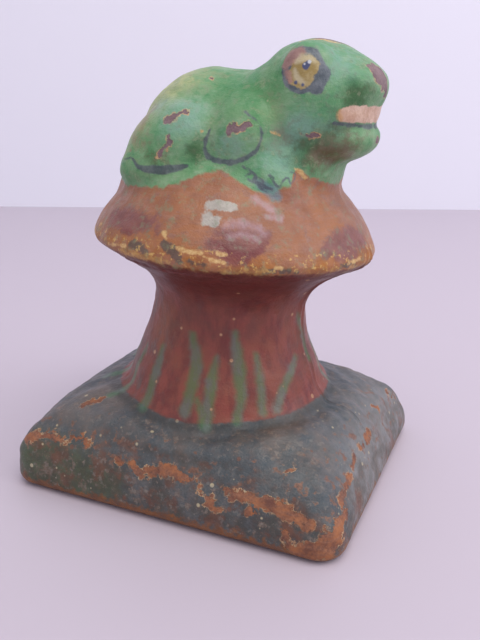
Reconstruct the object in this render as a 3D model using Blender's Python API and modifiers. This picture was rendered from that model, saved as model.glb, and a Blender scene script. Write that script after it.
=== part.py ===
"""Cast iron frog sitting on a toadstool, on a pillow-shaped plinth.

Two hollow half castings meet in the plane of the frog's backbone (the XZ plane) and are clamped by
two slotted machine screws, one through the stem and one through the frog's body. +X is the way the
frog faces, +Y is its left, +Z is up, and the origin is at the centre of the plinth's foot.
Outside shapes are joined, remeshed and smoothed, as a modeller's plaster pattern would be; the
cavity is made the same way, and each half is cut from the pattern with its wall left standing.
"""
import math

import bmesh
import bpy
from mathutils import Matrix, Vector

PART_NAME = "frog_on_toadstool"

# Driving dimensions, in millimetres.
PLINTH_LENGTH = 88.0
PLINTH_WIDTH = 76.0
PLINTH_HEIGHT = 22.0
PLINTH_BELLY_HEIGHT = 4.5  # where the pillow is widest
PLINTH_PLAN_POWER = 8.0  # how square the pillow is seen from above: 2 would be an ellipse
PLINTH_SIDE_POWER = 3.5  # how full it is seen from the side
STEM_BOTTOM = 8.0  # inside the plinth
STEM_FOOT_RADIUS = 28.5
STEM_FOOT_HEIGHT = 16.0
STEM_FOOT_POWER = 1.45  # how suddenly the foot spreads
STEM_WAIST_RADIUS = 19.6
STEM_WAIST_HEIGHT = 45.0
STEM_FLARE = 11.4  # how much wider than its waist the stem is at its flare's end
STEM_FLARE_LENGTH = 15.0
STEM_FLARE_POWER = 1.9
STEM_TOP = 59.0  # inside the cap
STEM_FORWARD = 0.3  # of the plinth's centre, at the foot
STEM_LEAN = 2.4  # further forward at the cap
STEM_LEAN_HEIGHTS = (32.0, 56.0)  # where the lean begins and ends
CAP_RADIUS = 35.0
CAP_HEIGHT = 19.0
CAP_CENTRE = (2.8, 0.0, 60.8)
CAP_TILT = (2.8, 3.1)  # degrees: the near rim is lifted and the front rim is dropped
CAP_TAPER = (0.27, 0.029)  # how the dome narrows with height, and with height squared
CAP_RIM_ROUND = 2.0
CAP_RIM_SINK = 0.4  # how far the rim's rounding is set below the dome's edge
CAP_UNDERSIDE_DROP = 0.5
CAP_UNDERSIDE_SLOPE = 0.36
CAP_HUB_RADIUS = 15.0  # inside this the underside is hidden by the stem
WALL = 4.5
SEAM_GAP = 0.3  # between the two halves' joint faces
FIT_GAP = 0.3  # between a screw and its hole

# The frog's masses: centre, half sizes and nose-up tilt in degrees. Those off the centre plane
# are paired, one on each flank.
FROG_MASSES = {
    "rump_and_back": ((-4.0, 0, 85.5), (17.5, 18.0, 15.3), 40),
    "belly": ((0.5, 0, 75.0), (26.7, 23.0, 12.8), 0),
    "shoulders": ((12.0, 0, 88.0), (11.0, 17.0, 12.8), 0),
    "head": ((22.5, 0, 95.8), (14.7, 14.5, 12.1), -12),
    "snout": ((33.5, 0, 98.8), (5.4, 9.5, 4.2), -30),
    "jaw": ((26.0, 0, 87.2), (11.7, 11.5, 6.2), 2),
    "throat": ((18.5, 0, 82.0), (11.5, 15.0, 8.5), 0),
    "thigh": ((-6.3, 13.5, 83.0), (13.3, 8.5, 10.5), 35),
    "shin": ((-9.0, 17.0, 79.0), (8.5, 6.0, 4.8), 5),
    "elbow": ((10.0, 15.5, 86.2), (6.4, 6.0, 8.2), 0),
    "forearm": ((17.5, 17.8, 78.3), (8.0, 3.4, 3.6), -20),
    "eye": ((23.5, 9.8, 101.2), (6.1, 5.3, 6.1), 0),
}
MOUTH = ((37.0, 0, 92.2), (8.0, 14.0, 1.8), -2)

# The hollow inside the stem, the cap and the frog.
STEM_HOLLOW_BOTTOM = 5.0
STEM_HOLLOW_TOP = 54.0
HOLLOW_MASSES = {
    "cap_neck": ((2.6, 0, 60.0), (17.0, 17.0, 12.0), 0),
    "cap_hollow": ((2.8, 0, 66.5), (27.5, 27.0, 5.5), -3),
    "body_hollow": ((-2.0, 0, 80.0), (20.0, 16.0, 14.0), 22),
    "head_hollow": ((19.0, 0, 93.5), (9.5, 8.5, 8.5), -12),
}

# Screws: place on the centre plane (x, z), seat of the head and tip of the thread along y.
SCREWS = {
    "stem_screw": {"x": 0.5, "z": 33.0, "seat": 17.5, "tip": -12.0},
    "body_screw": {"x": 1.5, "z": 87.0, "seat": 14.0, "tip": -10.0},
}
SHANK_RADIUS = 2.1
HEAD_RADIUS = 3.8
HEAD_HEIGHT = 2.6
HEAD_SIDE_SHARE = 0.55  # of the head's height is straight-sided, and the rest is domed
THREAD_CHAMFER = 0.6
SLOT_WIDTH = 1.0
SLOT_DEPTH = 1.3
BOSS_RADIUS = 6.2
PAST_JOINT = 5.0  # how far the bores' cutters reach across the joint
PAST_TIP = 1.0
PAST_SEAT = 1.0

PATTERN_VOXEL = 1.5
HOLLOW_VOXEL = 2.2
PATTERN_TRIANGLES = 7600
HOLLOW_TRIANGLES = 1300
BIG = 120.0  # reach of the cutting blocks, more than the figure's height

COLOURS = {  # base colour, roughness, metallic
    "right_half_casting": ((0.10, 0.19, 0.10), 0.5, 0.0),
    "left_half_casting": ((0.28, 0.12, 0.05), 0.5, 0.0),
    "stem_screw": ((0.22, 0.18, 0.15), 0.45, 1.0),
    "body_screw": ((0.22, 0.18, 0.15), 0.45, 1.0),
}


def mm(*values):
    """Return a vector in metres from values in millimetres."""
    return Vector(values) * 0.001


def start_clean():
    for thing in list(bpy.data.objects):
        bpy.data.objects.remove(thing, do_unlink=True)


def new_collection(name):
    collection = bpy.data.collections.new(name)
    bpy.context.scene.collection.children.link(collection)
    return collection


def object_from_bmesh(name, shape, collection):
    mesh = bpy.data.meshes.new(name)
    shape.to_mesh(mesh)
    shape.free()
    thing = bpy.data.objects.new(name, mesh)
    collection.objects.link(thing)
    return thing


def object_from_pieces(name, pieces, collection):
    """Join bmesh pieces into one object. They stay separate bodies until a modifier joins them."""
    joined = bmesh.new()
    for piece in pieces:
        scratch = bpy.data.meshes.new("scratch")
        piece.to_mesh(scratch)
        piece.free()
        joined.from_mesh(scratch)
        bpy.data.meshes.remove(scratch)
    return object_from_bmesh(name, joined, collection)


def ellipsoid(centre, radii, tilt, segments=32):
    """An egg shape in the XZ plane's frame. A positive tilt lifts its +X end."""
    shape = bmesh.new()
    bmesh.ops.create_uvsphere(shape, u_segments=segments, v_segments=segments // 2, radius=1.0)
    place = (
        Matrix.Translation(mm(*centre))
        @ Matrix.Rotation(math.radians(-tilt), 4, "Y")
        @ Matrix.Diagonal((*mm(*radii), 1.0))
    )
    bmesh.ops.transform(shape, matrix=place, verts=shape.verts)
    return shape


def paired_ellipsoids(masses):
    shapes = []
    for centre, radii, tilt in masses.values():
        sides = (1, -1) if centre[1] else (1,)
        for side in sides:
            shapes.append(ellipsoid((centre[0], side * centre[1], centre[2]), radii, tilt))
    return shapes


def pillow(length, width, belly_height, height):
    """A rectangular cushion: a sphere whose plan and side outlines are drawn out to be squarer."""
    shape = bmesh.new()
    bmesh.ops.create_uvsphere(shape, u_segments=64, v_segments=32, radius=1.0)
    half = mm(length / 2, width / 2, height - belly_height)
    for vert in shape.verts:
        x, y, z = vert.co
        plan_size = (abs(x) ** PLINTH_PLAN_POWER + abs(y) ** PLINTH_PLAN_POWER) ** (
            1 / PLINTH_PLAN_POWER
        )
        side_size = (plan_size**PLINTH_SIDE_POWER + abs(z) ** PLINTH_SIDE_POWER) ** (
            1 / PLINTH_SIDE_POWER
        )
        vert.co = (
            x / side_size * half.x,
            y / side_size * half.y,
            z / side_size * half.z + belly_height * 0.001,
        )
    return shape


def cylinder(x, z, start, end, radius, segments):
    """A cylinder that runs along Y from start to end."""
    shape = bmesh.new()
    bmesh.ops.create_cone(
        shape,
        cap_ends=True,
        segments=segments,
        radius1=radius * 0.001,
        radius2=radius * 0.001,
        depth=abs(end - start) * 0.001,
    )
    place = Matrix.Translation(mm(x, (start + end) / 2, z)) @ Matrix.Rotation(math.pi / 2, 4, "X")
    bmesh.ops.transform(shape, matrix=place, verts=shape.verts)
    return shape


def box(low, high):
    shape = bmesh.new()
    bmesh.ops.create_cube(shape, size=1.0)
    middle = (mm(*low) + mm(*high)) / 2
    size = mm(*high) - mm(*low)
    place = Matrix.Translation(middle) @ Matrix.Diagonal((*size, 1.0))
    bmesh.ops.transform(shape, matrix=place, verts=shape.verts)
    return shape


def turned(profile, place, steps=40):
    """Turn a profile of (radius, height) points, listed from top to bottom, about the Z axis."""
    mesh = bpy.data.meshes.new("profile")
    points = [mm(radius, 0, height) for radius, height in profile]
    mesh.from_pydata(points, [(i, i + 1) for i in range(len(points) - 1)], [])
    lathe = bpy.data.objects.new("lathe", mesh)
    bpy.context.scene.collection.objects.link(lathe)
    screw = lathe.modifiers.new("turn", "SCREW")
    screw.steps = screw.render_steps = steps
    screw.use_merge_vertices = True
    screw.merge_threshold = 0.00001
    solid = evaluated_bmesh(lathe)
    bpy.data.objects.remove(lathe, do_unlink=True)
    bmesh.ops.transform(solid, matrix=place, verts=solid.verts)
    return solid


def evaluated_bmesh(thing):
    graph = bpy.context.evaluated_depsgraph_get()
    mesh = bpy.data.meshes.new_from_object(thing.evaluated_get(graph))
    shape = bmesh.new()
    shape.from_mesh(mesh)
    bpy.data.meshes.remove(mesh)
    return shape


def smooth_step(low, high, value):
    t = min(max((value - low) / (high - low), 0.0), 1.0)
    return t * t * (3 - 2 * t)


def stem_radius(height):
    """The stem's outline: a wide foot, a waist, and a flare into the underside of the cap."""
    if height < STEM_WAIST_HEIGHT:
        t = (STEM_WAIST_HEIGHT - height) / (STEM_WAIST_HEIGHT - STEM_FOOT_HEIGHT)
        return STEM_WAIST_RADIUS + (STEM_FOOT_RADIUS - STEM_WAIST_RADIUS) * t**STEM_FOOT_POWER
    t = (height - STEM_WAIST_HEIGHT) / STEM_FLARE_LENGTH
    return STEM_WAIST_RADIUS + STEM_FLARE * t**STEM_FLARE_POWER


def stem_offset(height):
    """How far the stem's axis stands forward of the plinth's centre, because the casting leans."""
    return STEM_FORWARD + STEM_LEAN * smooth_step(*STEM_LEAN_HEIGHTS, height)


def stem_shape(bottom, top, thinner_by=0.0, steps=40):
    rows = 26
    heights = [top + (bottom - top) * i / rows for i in range(rows + 1)]
    profile = [(0.0, top)] + [(stem_radius(h) - thinner_by, h) for h in heights] + [(0.0, bottom)]
    shape = turned(profile, Matrix.Identity(4), steps)
    for vert in shape.verts:
        vert.co.x += stem_offset(vert.co.z * 1000) * 0.001
    return shape


def cap_shape():
    """The toadstool cap: domed sides, a rounded rim and a shallow cone underneath."""
    rows = 12
    heights = [CAP_HEIGHT * (1 - i / rows) for i in range(rows)]
    profile = [(0.0, CAP_HEIGHT)]
    profile += [(CAP_RADIUS - CAP_TAPER[0] * h - CAP_TAPER[1] * h**2, h) for h in heights]
    rim_radius = CAP_RADIUS - CAP_RIM_ROUND
    rim_height = CAP_RIM_ROUND - CAP_UNDERSIDE_DROP - CAP_RIM_SINK
    for i in range(7):  # the rim, from its widest point round to the underside
        angle = math.radians(-10 - 90 * i / 6)
        out, up = CAP_RIM_ROUND * math.cos(angle), CAP_RIM_ROUND * math.sin(angle)
        profile.append((rim_radius + out, rim_height + up))
    hub_height = -CAP_UNDERSIDE_DROP - (CAP_RADIUS - CAP_HUB_RADIUS) * CAP_UNDERSIDE_SLOPE
    profile += [(CAP_HUB_RADIUS, hub_height), (0.0, hub_height)]
    tilt = Matrix.Rotation(math.radians(CAP_TILT[1]), 4, "Y") @ Matrix.Rotation(
        math.radians(-CAP_TILT[0]), 4, "X"
    )
    return turned(profile, Matrix.Translation(mm(*CAP_CENTRE)) @ tilt)


def add_remesh(thing, voxel, smoothing, triangles):
    """Fuse an object's overlapping bodies into one skin, soften it and thin it out."""
    remesh = thing.modifiers.new("fuse", "REMESH")
    remesh.mode = "VOXEL"
    remesh.voxel_size = voxel * 0.001
    soften = thing.modifiers.new("soften", "SMOOTH")
    soften.iterations = smoothing
    soften.factor = 0.5
    shape = evaluated_bmesh(thing)
    faces = sum(len(face.verts) - 2 for face in shape.faces)
    shape.free()
    thin = thing.modifiers.new("thin", "DECIMATE")
    thin.ratio = min(1.0, triangles / faces)
    thin.use_collapse_triangulate = True


def bake(thing):
    """Replace an object's mesh by what its modifiers make."""
    shape = evaluated_bmesh(thing)
    thing.modifiers.clear()
    shape.to_mesh(thing.data)
    shape.free()


def cut(thing, cutter):
    boolean = thing.modifiers.new("cut_" + cutter.name, "BOOLEAN")
    boolean.operation = "DIFFERENCE"
    boolean.solver = "EXACT"
    boolean.object = cutter


def make_pattern(cutters):
    """The whole figure's outside, as one skin that reaches below the floor line."""
    plinth = pillow(PLINTH_LENGTH, PLINTH_WIDTH, PLINTH_BELLY_HEIGHT, PLINTH_HEIGHT)
    stem = stem_shape(STEM_BOTTOM, STEM_TOP)
    pieces = [plinth, stem, cap_shape()] + paired_ellipsoids(FROG_MASSES)
    pattern = object_from_pieces("pattern", pieces, cutters)
    add_remesh(pattern, PATTERN_VOXEL, 3, PATTERN_TRIANGLES)
    bake(pattern)
    mouth = object_from_bmesh("mouth_cutter", ellipsoid(*MOUTH, segments=20), cutters)
    cut(pattern, mouth)
    bake(pattern)
    return pattern


def make_hollow(cutters):
    """The space inside the figure, less the two bosses that the screws pass through."""
    plinth_hollow = pillow(
        PLINTH_LENGTH - 2 * WALL,
        PLINTH_WIDTH - 2 * WALL,
        PLINTH_BELLY_HEIGHT,
        PLINTH_HEIGHT - WALL,
    )
    stem_hollow = stem_shape(STEM_HOLLOW_BOTTOM, STEM_HOLLOW_TOP, thinner_by=WALL, steps=32)
    pieces = [plinth_hollow, stem_hollow] + paired_ellipsoids(HOLLOW_MASSES)
    hollow = object_from_pieces("hollow", pieces, cutters)
    add_remesh(hollow, HOLLOW_VOXEL, 2, HOLLOW_TRIANGLES)
    bake(hollow)
    for name, place in SCREWS.items():
        boss = cylinder(place["x"], place["z"], -BIG, BIG, BOSS_RADIUS, 24)
        cut(hollow, object_from_bmesh(name + "_boss", boss, cutters))
    bake(hollow)
    return hollow


def make_half(name, side, pattern, hollow, collection, cutters):
    """Cut one half casting from the pattern. side is -1 for the frog's right and 1 for its left."""
    half = bpy.data.objects.new(name, pattern.data.copy())
    half.data.name = name
    collection.objects.link(half)
    face = side * SEAM_GAP / 2
    far = -side * BIG
    other_side = box((-BIG, min(face, far), -BIG), (BIG, max(face, far), BIG))
    floor = box((-BIG, -BIG, -BIG), (BIG, BIG, 0))
    cut(half, object_from_bmesh(name + "_other_side", other_side, cutters))
    cut(half, object_from_bmesh(name + "_floor", floor, cutters))
    cut(half, hollow)
    for screw_name, place in SCREWS.items():
        x, z = place["x"], place["z"]
        if side < 0:
            hole = cylinder(x, z, PAST_JOINT, place["tip"] - PAST_TIP, SHANK_RADIUS + FIT_GAP, 24)
            cut(half, object_from_bmesh(screw_name + "_tapping", hole, cutters))
        else:
            bore_end = place["seat"] + PAST_SEAT
            hole = cylinder(x, z, -PAST_JOINT, bore_end, SHANK_RADIUS + FIT_GAP, 24)
            seat = cylinder(x, z, place["seat"], BIG, HEAD_RADIUS + FIT_GAP, 32)
            cut(half, object_from_bmesh(screw_name + "_clearance", hole, cutters))
            cut(half, object_from_bmesh(screw_name + "_head_seat", seat, cutters))
    return half


def make_screw(name, place, collection, cutters):
    """A slotted round-head machine screw lying along Y, its head on the frog's left."""
    seat = place["seat"] + FIT_GAP
    length = seat - place["tip"]
    side_height = HEAD_HEIGHT * HEAD_SIDE_SHARE
    dome = [
        (HEAD_RADIUS * math.sin(a), side_height + (HEAD_HEIGHT - side_height) * math.cos(a))
        for a in (math.radians(90 * i / 5) for i in range(6))
    ]
    profile = dome + [
        (HEAD_RADIUS, 0.0),
        (SHANK_RADIUS, 0.0),
        (SHANK_RADIUS, -length + THREAD_CHAMFER),
        (SHANK_RADIUS - THREAD_CHAMFER, -length),
        (0.0, -length),
    ]
    lie_down = Matrix.Rotation(-math.pi / 2, 4, "X")
    shape = turned(profile, Matrix.Identity(4), 24)
    screw = object_from_bmesh(name, shape, collection)
    screw.matrix_world = Matrix.Translation(mm(place["x"], seat, place["z"])) @ lie_down
    slot = object_from_bmesh(
        name + "_slot",
        box(
            (-SLOT_WIDTH / 2, -HEAD_RADIUS - 1, HEAD_HEIGHT - SLOT_DEPTH),
            (SLOT_WIDTH / 2, HEAD_RADIUS + 1, HEAD_HEIGHT + 1),
        ),
        cutters,
    )
    slot.matrix_world = screw.matrix_world
    cut(screw, slot)
    return screw


def paint(thing):
    colour, roughness, metallic = COLOURS[thing.name]
    material = bpy.data.materials.new(thing.name)
    material.use_nodes = True
    shader = material.node_tree.nodes["Principled BSDF"]
    shader.inputs["Base Color"].default_value = (*colour, 1.0)
    shader.inputs["Roughness"].default_value = roughness
    shader.inputs["Metallic"].default_value = metallic
    thing.data.materials.clear()
    thing.data.materials.append(material)
    thing.data.shade_smooth()
    thing.data.set_sharp_from_angle(angle=math.radians(40))


def main():
    start_clean()
    parts = new_collection(PART_NAME)
    cutters = new_collection("cutters")
    pattern = make_pattern(cutters)
    hollow = make_hollow(cutters)
    make_half("right_half_casting", -1, pattern, hollow, parts, cutters)
    make_half("left_half_casting", 1, pattern, hollow, parts, cutters)
    for name, place in SCREWS.items():
        make_screw(name, place, parts, cutters)
    for thing in parts.objects:
        paint(thing)
    for guide in cutters.objects:
        guide.hide_render = True
        guide.display_type = "WIRE"


main()
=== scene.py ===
"""Looks for the cast iron frog sitting on a toadstool.

Each half casting gets a finely sculpted skin with its cold-painted coats, the two screws get a
browned steel finish, and the figure stands in a plain pale studio.
+X is the way the frog faces, +Y is its left and +Z is up. Sculpting is done in millimetres.
"""
import math

import bmesh
import bpy
import numpy as np
from mathutils import Matrix, Vector


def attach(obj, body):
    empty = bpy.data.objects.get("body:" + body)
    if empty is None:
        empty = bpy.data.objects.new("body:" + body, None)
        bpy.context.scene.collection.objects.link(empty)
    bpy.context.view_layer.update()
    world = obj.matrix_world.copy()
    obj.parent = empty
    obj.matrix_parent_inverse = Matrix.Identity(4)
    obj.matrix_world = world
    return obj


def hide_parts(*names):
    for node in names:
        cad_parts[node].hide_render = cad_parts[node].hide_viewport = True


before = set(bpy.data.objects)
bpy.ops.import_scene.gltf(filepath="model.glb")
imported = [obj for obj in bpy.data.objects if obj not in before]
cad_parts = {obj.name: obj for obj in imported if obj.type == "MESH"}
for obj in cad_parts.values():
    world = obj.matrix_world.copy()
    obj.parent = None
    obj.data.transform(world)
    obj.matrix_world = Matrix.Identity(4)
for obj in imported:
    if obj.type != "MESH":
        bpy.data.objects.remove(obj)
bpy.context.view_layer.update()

MM = 0.001
PART = bpy.context.scene.collection

# ---------------------------------------------------------------------------- sizes, in millimetres

PLINTH_HALF = (44.2, 38.15)  # half length and half width at the foot
PLINTH_CORNER = 6.9  # corner radius seen from above
PLINTH_EDGE = 6.8  # rounding between the sides and the top
FOOT_EDGE = 3.5
STEM_OUTLINE = (  # height, radius
    (10, 34), (14, 30), (18, 28), (22, 26.6), (26, 25.2), (30, 23.8), (34, 22.1), (38, 20.8),
    (42, 19.9), (45, 19.6), (48, 19.7), (51, 20.8), (54, 23.0), (57, 26.5), (60, 31.0),
)
CAP_CENTRE = np.array((2.8, 0.0, 60.8))
CAP_RADIUS = 35.1
CAP_TILT = (2.8, 3.1)  # degrees: the frog's right rim is lifted and the front rim is dropped
WALL = 4.5
SEAM_GAP = 0.06
SHARP_EDGE = math.radians(50)
AROUND = ((-80, -80, -20), (80, 80, 140))  # two corners of a box that holds the whole figure
PAST_FLANK = 60  # along Y, clear of the plinth's sides

# The frog, in the order its masses are blended: centre, half sizes, nose-up tilt in degrees, and
# the blend's width. A mass off the centre plane is paired, one on each flank.
FROG_MASSES = {
    "rump_and_back": ((-4.0, 0, 85.5), (17.5, 18.0, 15.3), 40, 6.0),
    "shoulders": ((12.0, 0, 88.0), (11.0, 17.0, 12.8), 0, 6.0),
    "belly": ((1.0, 0, 75.0), (27.2, 23.0, 12.8), 0, 4.0),
    "head": ((23.3, 0, 95.8), (13.8, 14.5, 11.8), -12, 4.0),
    "snout": ((33.5, 0, 98.8), (5.2, 9.5, 4.0), -30, 3.0),
    "throat": ((18.5, 0, 82.0), (11.5, 15.0, 8.5), 0, 4.0),
    "cheek": ((22.0, 5, 91.0), (8.0, 9.5, 6.5), -5, 3.0),
    "jaw": ((26.0, 0, 86.7), (11.5, 11.5, 5.8), 2, 1.6),
    "mouth_lining": ((26.6, 0, 91.8), (10.0, 12.4, 4.8), 0, 1.0),
    "thigh": ((-6.3, 13.5, 83.0), (13.3, 8.5, 10.5), 35, 2.2),
    "shin": ((-9.5, 17.0, 79.5), (9.0, 5.8, 4.8), 4, 2.5),
    "elbow": ((10.5, 14.2, 87.0), (6.8, 5.4, 7.2), 0, 3.0),
    "forearm": ((16.8, 15.1, 78.7), (7.2, 3.0, 3.1), -28, 3.5),
    "eye": ((23.8, 9.4, 101.2), (5.8, 4.9, 5.8), 0, 1.5),
}

SCREWS = {  # place on the centre plane, seat of the head and end of the bore along Y
    "stem_screw": {"x": 0.5, "z": 33.0, "seat": 17.5, "bore_end": -13.0},
    "body_screw": {"x": 1.5, "z": 87.0, "seat": 14.0, "bore_end": -11.0},
}
BORE_RADIUS = 2.4
SEAT_RADIUS = 4.1
BOSS_RADIUS = 6.2
UNDER_HEAD = 0.3  # packing between a screw's head and its seat
SHORT_OF_BORE_END = 1.0
SUNK = 0.02  # share of the shank's length that is inside the head
SCREW_SHARP_EDGE = math.radians(35)
SHORTEST_EDGE = 0.001
SCREW = {  # the same for both screws
    "Head Radius": 3.8, "Head Height": 2.6, "Slot Width": 1.0, "Slot Depth": 1.3,
    "Shank Radius": 2.1, "Thread Depth": 0.38, "Thread Pitch": 0.8,
}

ROUGH_VOXEL = 1.2
SKIN_VOXEL = 0.52
HOLLOW_VOXEL = 1.3

# ------------------------------------------------------------ paint, in millimetres and degrees

# Where the frog's green ends on the toadstool: angle round the cap and height.
GREEN_EDGE = (
    (-154, 75.8), (-121, 76.1), (-101, 76.9), (-87, 78.8), (-79, 80.0), (-69, 80.4), (-61, 78.7),
    (-54, 77.0), (-48, 76.2), (-41, 77.0), (-36, 78.0), (-32, 80.8), (-26, 79.6), (-18, 78.2),
    (-5, 76.6), (8, 77.2), (20, 78.6), (34, 79.6), (47, 76.6), (60, 78.2), (74, 80.2), (88, 79.0),
    (104, 76.8), (126, 76.0), (150, 75.4), (176, 75.2),
)

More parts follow.
